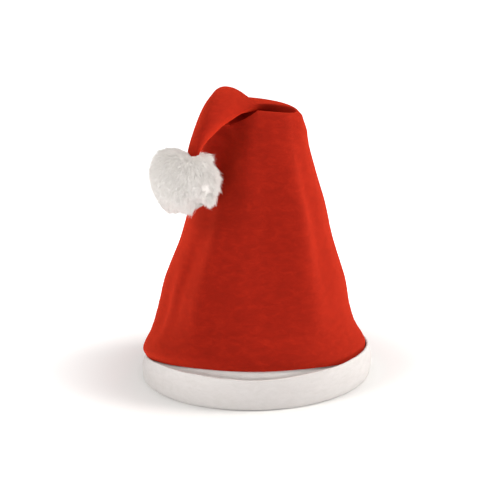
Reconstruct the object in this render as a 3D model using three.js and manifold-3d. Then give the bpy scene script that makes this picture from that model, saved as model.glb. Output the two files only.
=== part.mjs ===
import * as THREE from 'three';
import { mergeVertices } from 'three/addons/utils/BufferGeometryUtils.js';
import Module from 'manifold-3d';

// A santa hat of felt that stands by itself on its cuff, its tip folded over to the front left.
// Millimetres, +Z up, +X to the right and -Y to the front. The origin is the middle of the cuff's
// base, on the surface that the hat stands on.

// Driving dimensions
const HEM_RADIUS = 91.1;       // crown's outer radius at its hem
const NECK_RADIUS = 40;        // crown's radius where it starts to fold over
const NECK_HEIGHT = 210;       // that place's height above the surface
const FOLD_RISE = 36;          // how far the fold's top stands above the neck
const CROWN_FELT = 1.3;        // thickness of the red felt
const CREASE_DEPTH = 2;        // the deepest soft crease in the crown
const CUFF_FELT = 1.6;         // thickness of the white felt
const CUFF_HEIGHT = 28;        // free rim of the cuff above the surface, at its highest
const CUFF_ROOM = 3.1;         // between the crown's hem and the cuff's outer ply
const CUFF_BASE_ROUND = 2.6;   // radius of the cuff's two lower edges, where it folds
const SEAM_LAP = 5;            // how far the cuff's inner ply runs up inside the crown
const OVAL = 0.029;            // how far the base is drawn out from front left to back right
const POMPOM_RADIUS = 25;      // core of the pompom
const LOCK_LENGTH = 4.5;       // how far the longest locks stand out of the core
const SEAT_GAP = 0.3;          // between pieces that are sewn together

// Facets
const AROUND = 44;
const BODY_RINGS_PER_ROW = 1;
const FOLD_RINGS_PER_ROW = 2;

const FULL_TURN = 2 * Math.PI;
const OVAL_TOP = 0.714;        // height where the crown is round again, as a share of NECK_HEIGHT
const PLY_SOFTNESS = 0.12;     // how gently the front ply turns into the back ply
const EDGE_PRESS = 0.6;        // share of its thickness that the felt loses along the fold's edges
const EDGE_PRESS_ROWS = 3;     // rows of the fold over which that begins

// Round the hat every 30 degrees, from the front by way of the right: heights of the crown's hem
// and of the cuff's free rim as shares of CUFF_HEIGHT, and how far the cuff's outer ply bellies
// out at half height and leans out at its rim as shares of CUFF_ROOM.
const CUFF_ROWS = [
  { bearing: 0, hem: 1.14, rim: 0.94, belly: 0.15, lean: 0.3 },
  { bearing: 30, hem: 1.08, rim: 1.0, belly: 0.15, lean: 0.2 },
  { bearing: 60, hem: 0.87, rim: 1.01, belly: 0.3, lean: 0.05 },
  { bearing: 90, hem: 0.70, rim: 0.93, belly: 0.45, lean: 0.0 },
  { bearing: 120, hem: 0.61, rim: 0.80, belly: 0.3, lean: 0.0 },
  { bearing: 150, hem: 0.58, rim: 0.71, belly: 0.2, lean: 0.05 },
  { bearing: 180, hem: 0.57, rim: 0.68, belly: 0.15, lean: 0.05 },
  { bearing: 210, hem: 0.56, rim: 0.65, belly: 0.15, lean: 0.05 },
  { bearing: 240, hem: 0.55, rim: 0.64, belly: 0.1, lean: 0.0 },
  { bearing: 270, hem: 0.56, rim: 0.66, belly: 0.05, lean: 0.0 },
  { bearing: 300, hem: 0.89, rim: 0.90, belly: 0.05, lean: 0.1 },
  { bearing: 330, hem: 1.10, rim: 0.99, belly: 0.1, lean: 0.25 },
];

// The crown's sections from hem to neck. up is a share of the way from the hem at the back to
// NECK_HEIGHT. The reach of each side is a share of the way from NECK_RADIUS to HEM_RADIUS.
// follow says how much of the hem's rise and fall round the hat the section takes part in.
const BODY_ROWS = [
  { up: 0, left: 1.0, right: 1.0, front: 1.0, back: 1.0, follow: 1 },
  { up: 0.019, left: 1.06, right: 1.01, front: 1.01, back: 1.02, follow: 1 },
  { up: 0.039, left: 1.09, right: 1.01, front: 1.01, back: 1.02, follow: 1 },
  { up: 0.065, left: 1.06, right: 0.97, front: 0.99, back: 1.0, follow: 0.95 },
  { up: 0.104, left: 0.98, right: 0.88, front: 0.94, back: 0.93, follow: 0.85 },
  { up: 0.15, left: 0.91, right: 0.81, front: 0.88, back: 0.85, follow: 0.65 },
  { up: 0.225, left: 0.83, right: 0.74, front: 0.79, back: 0.77, follow: 0.4 },
  { up: 0.33, left: 0.74, right: 0.67, front: 0.69, back: 0.67, follow: 0.2 },
  { up: 0.424, left: 0.61, right: 0.57, front: 0.58, back: 0.58, follow: 0.08 },
  { up: 0.558, left: 0.42, right: 0.43, front: 0.41, back: 0.42, follow: 0 },
  { up: 0.69, left: 0.28, right: 0.31, front: 0.27, back: 0.29, follow: 0 },
  { up: 0.822, left: 0.19, right: 0.16, front: 0.12, back: 0.14, follow: 0 },
  { up: 0.933, left: 0.11, right: 0.05, front: -0.04, back: 0.0, follow: 0 },
  { up: 1, left: 0.03, right: 0.01, front: -0.17, back: -0.12, follow: 0 },
];

// The fold's sections from the neck to the tip. Each gives the places of its left and right edges
// and of the middles of its front and back plies: right and back of the hat's middle line as
// shares of NECK_RADIUS, and up from the neck as a share of FOLD_RISE. The front ply rolls over a
// ridge into a pocket and runs on as the flap's underside, the back ply becomes its top. sink is
// how far the ridge drops at the front left, where the flap passes over it, as a share of FOLD_RISE.
const FOLD_ROWS = [
  { left: [-0.99, 0, 0.25], right: [0.95, 0, 0.22], front: [0, -0.65, 0.28], back: [0, 0.7, 0.25], sink: 0.1 },
  { left: [-0.95, -0.05, 0.44], right: [0.92, 0.01, 0.32], front: [0.02, -0.57, 0.46], back: [0, 0.57, 0.38], sink: 0.27 },
  { left: [-0.93, -0.1, 0.56], right: [0.87, 0.02, 0.38], front: [0.02, -0.49, 0.53], back: [0, 0.43, 0.47], sink: 0.38 },
  { left: [-0.92, -0.15, 0.63], right: [0.81, 0.04, 0.44], front: [0.02, -0.41, 0.4], back: [0.01, 0.31, 0.56], sink: 0.32 },
  { left: [-0.91, -0.2, 0.7], right: [0.7, 0.05, 0.5], front: [0, -0.2, 0.02], back: [-0.06, 0.25, 0.65], sink: 0.09 },
  { left: [-0.91, -0.25, 0.74], right: [0.49, 0.03, 0.55], front: [-0.05, 0.0, -0.08], back: [-0.14, 0.16, 0.7], sink: 0.05 },
  { left: [-0.9, -0.3, 0.76], right: [0.25, -0.03, 0.59], front: [-0.15, 0.02, 0.12], back: [-0.21, 0.1, 0.71], sink: 0 },
  { left: [-0.9, -0.34, 0.77], right: [0.02, -0.17, 0.61], front: [-0.28, -0.02, 0.34], back: [-0.34, 0.0, 0.74], sink: 0 },
  { left: [-0.9, -0.39, 0.76], right: [-0.15, -0.42, 0.57], front: [-0.42, -0.17, 0.44], back: [-0.52, -0.2, 1.01], sink: 0 },
  { left: [-0.97, -0.46, 0.67], right: [-0.31, -0.62, 0.51], front: [-0.6, -0.35, 0.47], back: [-0.65, -0.62, 1.01], sink: 0 },
  { left: [-1.06, -0.57, 0.57], right: [-0.48, -0.8, 0.43], front: [-0.76, -0.49, 0.35], back: [-0.81, -1.0, 0.87], sink: 0 },
  { left: [-1.15, -0.72, 0.4], right: [-0.66, -1.0, 0.33], front: [-0.89, -0.6, 0.25], back: [-0.96, -1.25, 0.66], sink: 0 },
  { left: [-1.24, -0.9, 0.22], right: [-0.82, -1.15, 0.2], front: [-1.02, -0.77, 0.08], back: [-1.06, -1.38, 0.42], sink: 0 },
  { left: [-1.32, -1.05, 0], right: [-0.98, -1.25, 0.03], front: [-1.15, -0.94, -0.08], back: [-1.16, -1.43, 0.17], sink: 0 },
  { left: [-1.37, -1.15, -0.17], right: [-1.09, -1.3, -0.13], front: [-1.23, -1.08, -0.21], back: [-1.22, -1.42, -0.06], sink: 0 },
  { left: [-1.39, -1.21, -0.31], right: [-1.14, -1.3, -0.25], front: [-1.27, -1.15, -0.32], back: [-1.26, -1.38, -0.25], sink: 0 },
  { left: [-1.4, -1.25, -0.5], right: [-1.2, -1.3, -0.48], front: [-1.3, -1.18, -0.51], back: [-1.3, -1.37, -0.48], sink: 0 },
];
const INNER_END_ROW = 15.5;    // the fold's row, counted from the neck, where the hollow closes

// Soft upright creases and ridges in the crown. bearing and width are degrees round the hat,
// turn the degrees that it leans to the right on its way up, depth a share of CREASE_DEPTH
// (negative for a ridge), and from and to are shares of the way from hem to neck.
const CREASE_ROWS = [
  { bearing: -68, width: 12, turn: 4, depth: 1.0, from: 0.04, to: 0.42 },
  { bearing: -46, width: 11, turn: 8, depth: -0.7, from: 0.08, to: 0.72 },
  { bearing: -5, width: 15, turn: -4, depth: 0.6, from: 0.15, to: 0.95 },
  { bearing: 28, width: 13, turn: 6, depth: -0.6, from: 0.2, to: 0.98 },
  { bearing: 52, width: 12, turn: -14, depth: 0.55, from: 0.3, to: 0.9 },
  { bearing: 20, width: 12, turn: -8, depth: -0.6, from: 0.0, to: 0.16 },
  { bearing: 128, width: 16, turn: 10, depth: 0.8, from: 0.1, to: 0.6 },
  { bearing: 205, width: 15, turn: -6, depth: -0.7, from: 0.12, to: 0.8 },
];

// Tufts that stand out of the pompom. bearing is degrees round the hat, climb degrees above the
// level, both seen from the pompom's middle, and reach is a share of LOCK_LENGTH.
const TUFT_ROWS = [
  { bearing: 60, climb: 42, reach: 1.0, width: 0.15 },
  { bearing: 40, climb: 22, reach: 0.8, width: 0.22 },
  { bearing: 52, climb: -6, reach: 0.9, width: 0.2 },
  { bearing: 46, climb: -30, reach: 1.2, width: 0.19 },
  { bearing: 20, climb: -42, reach: 1.0, width: 0.2 },
  { bearing: 48, climb: -56, reach: 0.9, width: 0.18 },
  { bearing: -10, climb: -66, reach: 0.9, width: 0.2 },
  { bearing: -60, climb: -62, reach: 1.0, width: 0.2 },
  { bearing: -100, climb: -50, reach: 0.7, width: 0.2 },
];
const FLUFF_LOCKS = 23;
const FLUFF_REACH = 0.5;       // mean reach of the even locks, as a share of LOCK_LENGTH
const FLUFF_WIDTH = 0.3;       // their half width as a share of POMPOM_RADIUS
const POMPOM_PLACE = [-0.24, -0.08, -0.49];   // from the crown's end, in shares of POMPOM_RADIUS
const POMPOM_SQUASH = [1.06, 0.94, 1.0];      // core's semi-axes as shares of POMPOM_RADIUS
const LOCK_PROFILE = [[0, 0.5], [1.0, 0.6], [0.8, 0.9], [0, 1]];
const LOCK_SIDES = 5;
const GOLDEN_ANGLE = Math.PI * (3 - Math.sqrt(5));

const redFelt = new THREE.MeshStandardMaterial({ name: 'red_felt', color: 0xc4211a, roughness: 0.95, metalness: 0 });
const whiteFelt = new THREE.MeshStandardMaterial({ name: 'white_felt', color: 0xe4e2e0, roughness: 0.95, metalness: 0 });
const whitePile = new THREE.MeshStandardMaterial({ name: 'white_pile', color: 0xefedeb, roughness: 1, metalness: 0 });

const wasm = await Module();
wasm.setup();

// Value of a column of CUFF_ROWS at an angle counted from +X towards +Y, smooth all the way round.
function roundTheHat(column, angle) {
  const step = FULL_TURN / CUFF_ROWS.length;
  const place = THREE.MathUtils.euclideanModulo(angle + FULL_TURN / 4, FULL_TURN) / step;
  const first = Math.floor(place);
  const share = place - first;
  const [a, b, c, d] = [-1, 0, 1, 2].map(
    (offset) => CUFF_ROWS[THREE.MathUtils.euclideanModulo(first + offset, CUFF_ROWS.length)][column]);
  const slope = c - a + share * (2 * a - 5 * b + 4 * c - d + share * (3 * (b - c) + d - a));
  return b + 0.5 * share * slope;
}

// The base is slightly oval, drawn out along the line from front left to back right.
function drawOval(point) {
  const amount = OVAL * Math.max(0, 1 - point.z / (OVAL_TOP * NECK_HEIGHT));
  return new THREE.Vector3(point.x + amount * point.y, point.y + amount * point.x, point.z);
}

const hemBack = CUFF_HEIGHT * CUFF_ROWS.find((row) => row.bearing === 180).hem;

function bodyReach(share) {
  return NECK_RADIUS + share * (HEM_RADIUS - NECK_RADIUS);
}

function bodySection(row) {
  const z = hemBack + row.up * (NECK_HEIGHT - hemBack);
  const middle = (bodyReach(row.right) - bodyReach(row.left)) / 2;
  return {
    left: new THREE.Vector3(-bodyReach(row.left), 0, z),
    right: new THREE.Vector3(bodyReach(row.right), 0, z),
    front: new THREE.Vector3(middle, -bodyReach(row.front), z),
    back: new THREE.Vector3(middle, bodyReach(row.back), z),
    follow: row.follow,
    up: row.up,
    sink: 0,
  };
}

function foldSection(row) {
  const place = ([x, y, z]) => new THREE.Vector3(x * NECK_RADIUS, y * NECK_RADIUS, NECK_HEIGHT + z * FOLD_RISE);
  return {
    left: place(row.left),
    right: place(row.right),
    front: place(row.front),
    back: place(row.back),
    follow: 0,
    up: 1,
    sink: row.sink,
  };
}

const sections = [...BODY_ROWS.map(bodySection), ...FOLD_ROWS.map(foldSection)];
const neckRow = BODY_ROWS.length - 1;
const lastRow = sections.length - 1;
const rail = (side) => new THREE.CatmullRomCurve3(sections.map((section) => section[side]));
const rails = { left: rail('left'), right: rail('right'), front: rail('front'), back: rail('back') };

function betweenRows(column, row) {
  const first = Math.min(Math.floor(row), lastRow - 1);
  return THREE.MathUtils.lerp(sections[first][column], sections[first + 1][column], row - first);
}

// How far the creases push the crown in at a height share and a bearing.
function creaseAt(up, angle) {
  const bearing = THREE.MathUtils.radToDeg(angle) + 90;
  let depth = 0;
  for (const crease of CREASE_ROWS) {
    const along = (up - crease.from) / (crease.to - crease.from);
    if (along <= 0 || along >= 1) continue;
    const middle = crease.bearing + crease.turn * along;
    const away = THREE.MathUtils.euclideanModulo(bearing - middle + 180, 360) - 180;
    depth += crease.depth * Math.sin(Math.PI * along) * Math.exp(-((away / crease.width) ** 2));
  }
  return CREASE_DEPTH * depth;
}

// 1 at the front left corner and 0 from the front round by the right and back to the left.
function frontLeftShare(angle) {
  const pastLeft = THREE.MathUtils.euclideanModulo(angle, FULL_TURN) - Math.PI;
  return pastLeft > 0 && pastLeft < Math.PI / 2 ? Math.sin(2 * pastLeft) : 0;
}

// Outer face of the crown at a row (whole at the tables' rows) and an angle from +X towards +Y.
function crownPoint(row, angle) {
  const share = Math.min(row / lastRow, 1);
  const [left, right, front, back] = ['left', 'right', 'front', 'back'].map((side) => rails[side].getPoint(share));
  const middle = left.clone().add(right).multiplyScalar(0.5);
  const halfWidth = right.clone().sub(left).multiplyScalar(0.5);
  const toBack = (Math.sin(angle) + Math.hypot(Math.sin(angle), PLY_SOFTNESS)) / 2;
  const toFront = toBack - Math.sin(angle);
  const point = middle.clone();
  point.addScaledVector(halfWidth, Math.cos(angle));
  point.addScaledVector(back.sub(middle), toBack);
  point.addScaledVector(front.sub(middle), toFront);
  point.z += betweenRows('follow', row) * (CUFF_HEIGHT * roundTheHat('hem', angle) - hemBack);
  point.z -= FOLD_RISE * betweenRows('sink', row) * frontLeftShare(angle);
  const outward = point.clone().sub(middle).setZ(0).normalize();
  point.addScaledVector(outward, -creaseAt(betweenRows('up', row), angle));
  return drawOval(point);
}

// The same face moved along its normal, outwards where the distance is positive.
function crownOffset(row, angle, distance) {
  const step = 0.02;
  const before = crownPoint(Math.max(row - step, 0), angle);
  const after = crownPoint(Math.min(row + step, lastRow), angle);
  const along = after.sub(before);
  const around = crownPoint(row, angle + step).sub(crownPoint(row, angle - step));
  const normal = around.cross(along).normalize();
  return crownPoint(row, angle).addScaledVector(normal, distance);
}

const ringAngles = Array.from({ length: AROUND }, (_, k) => (k * FULL_TURN) / AROUND);

function crownRing(row, distance) {
  return ringAngles.map((angle) => crownOffset(row, angle, distance));
}

// Inner face of the crown. The felt is pressed thinner along the edges of the fold.
function innerRing(row) {
  const pressed = EDGE_PRESS * THREE.MathUtils.smoothstep(row, neckRow, neckRow + EDGE_PRESS_ROWS);
  return ringAngles.map((angle) => {
    const felt = CROWN_FELT * (1 - pressed * Math.cos(angle) ** 2);
    return crownOffset(row, angle, -felt);
  });
}

// Rows of rings from the hem to a row of the fold, closer together where the felt folds.
function ringRows(end) {
  const rows = [];
  for (let row = 0; row < neckRow; row += 1 / BODY_RINGS_PER_ROW) rows.push(row);
  for (let row = neckRow; row <= end; row += 1 / FOLD_RINGS_PER_ROW) rows.push(row);
  return rows;
}

// One closed mesh from a string of rings, each of as many points, with both ends capped, or with
// its last ring joined to its first where it is a loop.
function skinRings(rings, isLoop) {
  const count = rings[0].length;
  const points = rings.flat();
  const faces = [];
  const joinRings = (a, b) => {
    for (let k = 0; k < count; k += 1) {
      const next = (k + 1) % count;
      faces.push(a + k, a + next, b + next, a + k, b + next, b + k);
    }
  };
  for (let ring = 0; ring < rings.length - 1; ring += 1) joinRings(ring * count, (ring + 1) * count);
  if (isLoop) {
    joinRings((rings.length - 1) * count, 0);
  } else {
    const capRing = (ring, start, isLast) => {
      const middle = ring.reduce((sum, point) => sum.add(point), new THREE.Vector3()).divideScalar(count);
      const hub = points.push(middle) - 1;
      for (let k = 0; k < count; k += 1) {
        const pair = [start + k, start + ((k + 1) % count)];
        faces.push(hub, ...(isLast ? pair : pair.reverse()));
      }
    };
    capRing(rings[0], 0, false);
    capRing(rings[rings.length - 1], (rings.length - 1) * count, true);
  }
  const geometry = new THREE.BufferGeometry();
  geometry.setAttribute('position', new THREE.Float32BufferAttribute(points.flatMap((point) => point.toArray()), 3));
  geometry.setIndex(faces);
  return geometry;
}

function solidOf(geometry) {
  const bare = geometry.clone();
  bare.deleteAttribute('normal');
  bare.deleteAttribute('uv');
  const merged = mergeVertices(bare, 1e-4);
  const corners = merged.index.array;
  const kept = [];
  for (let k = 0; k < corners.length; k += 3) {
    const [a, b, c] = corners.slice(k, k + 3);
    if (a !== b && b !== c && c !== a) kept.push(a, b, c);
  }
  const mesh = new wasm.Mesh({
    numProp: 3,
    vertProperties: new Float32Array(merged.attributes.position.array),
    triVerts: new Uint32Array(kept),
  });
  return new wasm.Manifold(mesh);
}

function geometryOf(solid) {
  const { vertProperties, triVerts } = solid.getMesh();
  const geometry = new THREE.BufferGeometry();
  geometry.setAttribute('position', new THREE.BufferAttribute(new Float32Array(vertProperties), 3));
  geometry.setIndex(new THREE.BufferAttribute(new Uint32Array(triVerts), 1));
  geometry.computeVertexNormals();
  return geometry;
}

// The crown: outer face from hem to tip and inner face back down to the hem.
function crownGeometry() {
  const outer = ringRows(lastRow).map((row) => crownRing(row, 0));
  const inner = ringRows(neckRow + INNER_END_ROW).map(innerRing);
  for (const [k, point] of inner[0].entries()) point.z = outer[0][k].z;
  return skinRings([...inner.reverse(), ...outer], false);
}

// Outline of the cuff's folded strip at an angle, as radius and height, from the inner ply's top
// down into the channel, up the outer ply's inside, over the rim, down to the base and back up.
function cuffOutline(angle) {
  const inside = HEM_RADIUS - CROWN_FELT - SEAT_GAP - CUFF_FELT;
  const outside = HEM_RADIUS + CUFF_ROOM + CUFF_FELT;
  const top = CUFF_HEIGHT * roundTheHat('hem', angle) + SEAM_LAP;
  const rim = CUFF_HEIGHT * roundTheHat('rim', angle);
  const belly = CUFF_ROOM * roundTheHat('belly', angle);
  const lean = CUFF_ROOM * roundTheHat('lean', angle);
  const round = CUFF_BASE_ROUND;
  const cut = round * (1 - Math.SQRT1_2);
  const channel = (CUFF_FELT + round) / 2;
  return [
    [inside + CUFF_FELT, top],
    [inside + CUFF_FELT, round + cut],
    [inside + CUFF_FELT + cut, channel],
    [outside - CUFF_FELT - cut, channel],
    [outside - CUFF_FELT, round + cut],
    [outside + belly - CUFF_FELT, rim / 2],
    [outside + (belly + lean) / 2 - CUFF_FELT, rim * 0.8],
    [outside + lean - CUFF_FELT, rim],
    [outside + lean, rim],
    [outside + (belly + lean) / 2, rim * 0.8],
    [outside + belly, rim / 2],
    [outside, round],
    [outside - cut, cut],
    [outside - round, 0],
    [inside + round, 0],
    [inside + cut, cut],
    [inside, round],
    [inside, top],
  ];
}

function cuffGeometry() {
  const rings = ringAngles.map((angle) => cuffOutline(angle).map(
    ([radius, z]) => drawOval(new THREE.Vector3(radius * Math.cos(angle), radius * Math.sin(angle), z))));
  return skinRings(rings, true);
}

// One lock of pile along a direction, from inside the core to its pointed end.
function lockGeometry(direction, length, halfWidth) {
  const profile = LOCK_PROFILE.map(([width, along]) => new THREE.Vector2(width * halfWidth, along * length));
  const geometry = new THREE.LatheGeometry(profile, LOCK_SIDES);
  const turn = new THREE.Quaternion().setFromUnitVectors(new THREE.Vector3(0, 1, 0), direction);
  return geometry.applyQuaternion(turn);
}

function directionOf(bearing, climb) {
  const round = THREE.MathUtils.degToRad(bearing);
  const rise = THREE.MathUtils.degToRad(climb);
  return new THREE.Vector3(
    Math.cos(rise) * Math.sin(round), -Math.cos(rise) * Math.cos(round), Math.sin(rise));
}

// The pompom: a core with locks all over and longer tufts, cut where the crown's end runs into it
// and where it lies against the crown.
function pompomGeometry() {
  const squash = new THREE.Vector3(...POMPOM_SQUASH);
  const coreSphere = new THREE.IcosahedronGeometry(POMPOM_RADIUS, 2);
  let pompom = solidOf(coreSphere.scale(squash.x, squash.y, squash.z));
  const addLock = (direction, reach, width) => {
    const surface = direction.clone().multiply(squash).length() * POMPOM_RADIUS;
    const lock = lockGeometry(direction, surface + reach * LOCK_LENGTH, width * POMPOM_RADIUS);
    pompom = pompom.add(solidOf(lock));
  };
  for (let k = 0; k < FLUFF_LOCKS; k += 1) {
    const z = 1 - (2 * (k + 0.5)) / FLUFF_LOCKS;
    const flat = Math.sqrt(1 - z * z);
    const direction = new THREE.Vector3(flat * Math.cos(k * GOLDEN_ANGLE), flat * Math.sin(k * GOLDEN_ANGLE), z);
    addLock(direction, FLUFF_REACH * (1 + 0.4 * Math.sin(5 * k)), FLUFF_WIDTH);
  }
  for (const tuft of TUFT_ROWS) addLock(directionOf(tuft.bearing, tuft.climb), tuft.reach, tuft.width);

  const end = crownRing(lastRow, 0).reduce((sum, point) => sum.add(point), new THREE.Vector3()).divideScalar(AROUND);
  const centre = new THREE.Vector3(...POMPOM_PLACE).multiplyScalar(POMPOM_RADIUS).add(end);
  const before = crownPoint(lastRow - 0.5, 0).add(crownPoint(lastRow - 0.5, Math.PI)).multiplyScalar(0.5);
  const pastEnd = end.clone().sub(before).normalize().multiplyScalar(SEAT_GAP);
  const endRows = [3, 2.5, 2, 1.5, 1, 0.5, 0].map((back) => lastRow - back);
  const endRings = endRows.map((row) => crownRing(row, SEAT_GAP));
  endRings.push(crownRing(lastRow, SEAT_GAP).map((point) => point.add(pastEnd)));
  const endRoom = solidOf(skinRings(endRings, false));
  const bodyRings = BODY_ROWS.map((_, row) => crownRing(row, SEAT_GAP));
  const bodyRoom = solidOf(skinRings(bodyRings, false));
  return geometryOf(pompom.translate(centre.toArray()).subtract(endRoom).subtract(bodyRoom));
}

function addPiece(group, name, geometry, material) {
  geometry.computeVertexNormals();
  const mesh = new THREE.Mesh(geometry, material);
  mesh.name = name;
  group.add(mesh);
}

const hat = new THREE.Group();
addPiece(hat, 'crown', crownGeometry(), redFelt);
addPiece(hat, 'cuff', cuffGeometry(), whiteFelt);
addPiece(hat, 'pompom', pompomGeometry(), whitePile);

export default hat;
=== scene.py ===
"""A santa hat of red felt, standing on its folded white cuff with the tip folded over to the front left.

Each sub-assembly is a class that holds its sizes and builds its own meshes: the crown, the cuff and
the pompom, then the studio with its floor, lights and camera. The frame is in metres, the sizes of
the felt below are in millimetres, as a pattern cutter writes them.
"""

import logging
import math
from dataclasses import dataclass
from enum import Enum

import bpy
import numpy as np
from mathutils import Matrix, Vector, noise

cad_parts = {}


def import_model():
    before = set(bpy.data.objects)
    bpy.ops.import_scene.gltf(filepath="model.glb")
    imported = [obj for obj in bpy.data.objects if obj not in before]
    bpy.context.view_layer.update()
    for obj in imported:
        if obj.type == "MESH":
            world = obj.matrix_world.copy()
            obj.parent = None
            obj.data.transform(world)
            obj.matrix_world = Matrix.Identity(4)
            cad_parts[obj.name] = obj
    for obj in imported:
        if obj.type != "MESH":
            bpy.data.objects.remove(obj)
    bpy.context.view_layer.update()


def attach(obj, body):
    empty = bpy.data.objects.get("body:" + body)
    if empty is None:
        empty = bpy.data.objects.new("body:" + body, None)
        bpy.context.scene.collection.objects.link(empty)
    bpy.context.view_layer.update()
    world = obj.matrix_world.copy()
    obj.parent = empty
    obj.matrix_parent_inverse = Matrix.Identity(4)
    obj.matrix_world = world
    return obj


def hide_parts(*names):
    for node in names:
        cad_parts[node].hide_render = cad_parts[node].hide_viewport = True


LOG = logging.getLogger("santa_hat")
MM = 0.001
FULL_TURN = 2 * math.pi

HEM_RADIUS = 91.1  # crown's outer radius at its hem
NECK_RADIUS = 40.0  # crown's radius where it starts to fold over
NECK_HEIGHT = 210.0  # that place's height above the surface
FOLD_RISE = 36.0  # how far the fold's top stands above the neck
CROWN_FELT = 1.3  # thickness of the red felt
CUFF_FELT = 1.6  # thickness of the white felt
CUFF_HEIGHT = 28.0  # free rim of the cuff above the surface, at its highest
CUFF_ROOM = 3.1  # between the crown's hem and the cuff's outer ply
OVAL = 0.029  # how far the base is drawn out from front left to back right
OVAL_TOP = 150.0  # height where the crown is round again
SEW_GAP = 0.02  # points of a rolled sheet's two edges that lie this close are sewn together
SMOOTH_ANGLE = 50.0  # degrees: felt turns sharper than this only at a cut edge

NAP_STRETCH = (1.0, 1.0, 2.2)  # the nap lies across the hat, so its patches are wider than high
NAP_SLOPE = (0.0, 0.35, 0.0)  # how far those patches slope, in radians
FIBRE_SHARE = 0.35  # how much of the colour's unevenness comes from bunches of fibre
NAP_PLACES = (0.32, 0.5, 0.68)  # the noise that reads as deep, body and high
PILE_PLACES = (0.3, 0.62)  # the noise that reads as root and tip


@dataclass(frozen=True)
class CuffRow:
    """The cuff at one bearing, its heights as shares of CUFF_HEIGHT and its swells of CUFF_ROOM."""

    bearing: float
    hem: float
    rim: float
    belly: float
    lean: float


@dataclass(frozen=True)
class BodyRow:
    """A section of the crown between hem and neck.

    up is a share of the way from the hem at the back to NECK_HEIGHT, the reach of each side a share
    of the way from NECK_RADIUS to HEM_RADIUS, and follow how much of the hem's rise it takes part in.
    """

    up: float
    left: float
    right: float
    front: float
    back: float
    follow: float = 0.0


@dataclass(frozen=True)
class FoldRow:
    """A section of the fold: its edges and the middles of its plies, in shares of the neck's sizes.

    sink is how far the ridge drops at the front left, where the flap passes over it.
    """

    left: tuple[float, float, float]
    right: tuple[float, float, float]
    front: tuple[float, float, float]
    back: tuple[float, float, float]
    sink: float = 0.0


@dataclass(frozen=True)
class CreaseRow:
    """A soft upright crease, or a ridge where depth is negative. Degrees, and shares of the height."""

    bearing: float
    width: float
    turn: float
    depth: float
    low: float
    high: float


CUFF_ROWS = (
    CuffRow(0, hem=1.14, rim=0.94, belly=0.15, lean=0.3),
    CuffRow(30, hem=1.08, rim=1.0, belly=0.15, lean=0.2),
    CuffRow(60, hem=0.87, rim=1.01, belly=0.3, lean=-0.2),
    CuffRow(90, hem=0.70, rim=0.93, belly=0.45, lean=-0.6),
    CuffRow(120, hem=0.61, rim=0.80, belly=0.3, lean=-0.6),
    CuffRow(150, hem=0.58, rim=0.71, belly=0.2, lean=-0.4),
    CuffRow(180, hem=0.57, rim=0.68, belly=0.15, lean=-0.3),
    CuffRow(210, hem=0.56, rim=0.65, belly=0.15, lean=-0.3),
    CuffRow(240, hem=0.55, rim=0.64, belly=0.1, lean=-0.6),
    CuffRow(270, hem=0.56, rim=0.66, belly=0.05, lean=-0.8),
    CuffRow(300, hem=0.89, rim=0.90, belly=0.05, lean=-0.35),
    CuffRow(330, hem=1.10, rim=0.99, belly=0.1, lean=0.25),
)

BODY_ROWS = (
    BodyRow(0.0, left=1.0, right=1.0, front=1.0, back=1.0, follow=1.0),
    BodyRow(0.019, left=1.06, right=1.01, front=1.01, back=1.02, follow=1.0),
    BodyRow(0.039, left=1.09, right=1.01, front=1.01, back=1.02, follow=1.0),
    BodyRow(0.065, left=1.06, right=0.97, front=0.99, back=1.0, follow=0.95),
    BodyRow(0.104, left=0.98, right=0.88, front=0.94, back=0.93, follow=0.85),
    BodyRow(0.15, left=0.91, right=0.81, front=0.88, back=0.85, follow=0.65),
    BodyRow(0.225, left=0.83, right=0.74, front=0.79, back=0.77, follow=0.4),
    BodyRow(0.33, left=0.74, right=0.67, front=0.69, back=0.67, follow=0.2),
    BodyRow(0.424, left=0.61, right=0.57, front=0.58, back=0.58, follow=0.08),
    BodyRow(0.558, left=0.42, right=0.43, front=0.41, back=0.42),
    BodyRow(0.69, left=0.28, right=0.31, front=0.27, back=0.29),
    BodyRow(0.822, left=0.19, right=0.16, front=0.12, back=0.14),
    BodyRow(0.933, left=0.11, right=0.05, front=-0.04, back=0.0),
    BodyRow(1.0, left=0.03, right=0.01, front=-0.17, back=-0.12),
)

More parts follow.
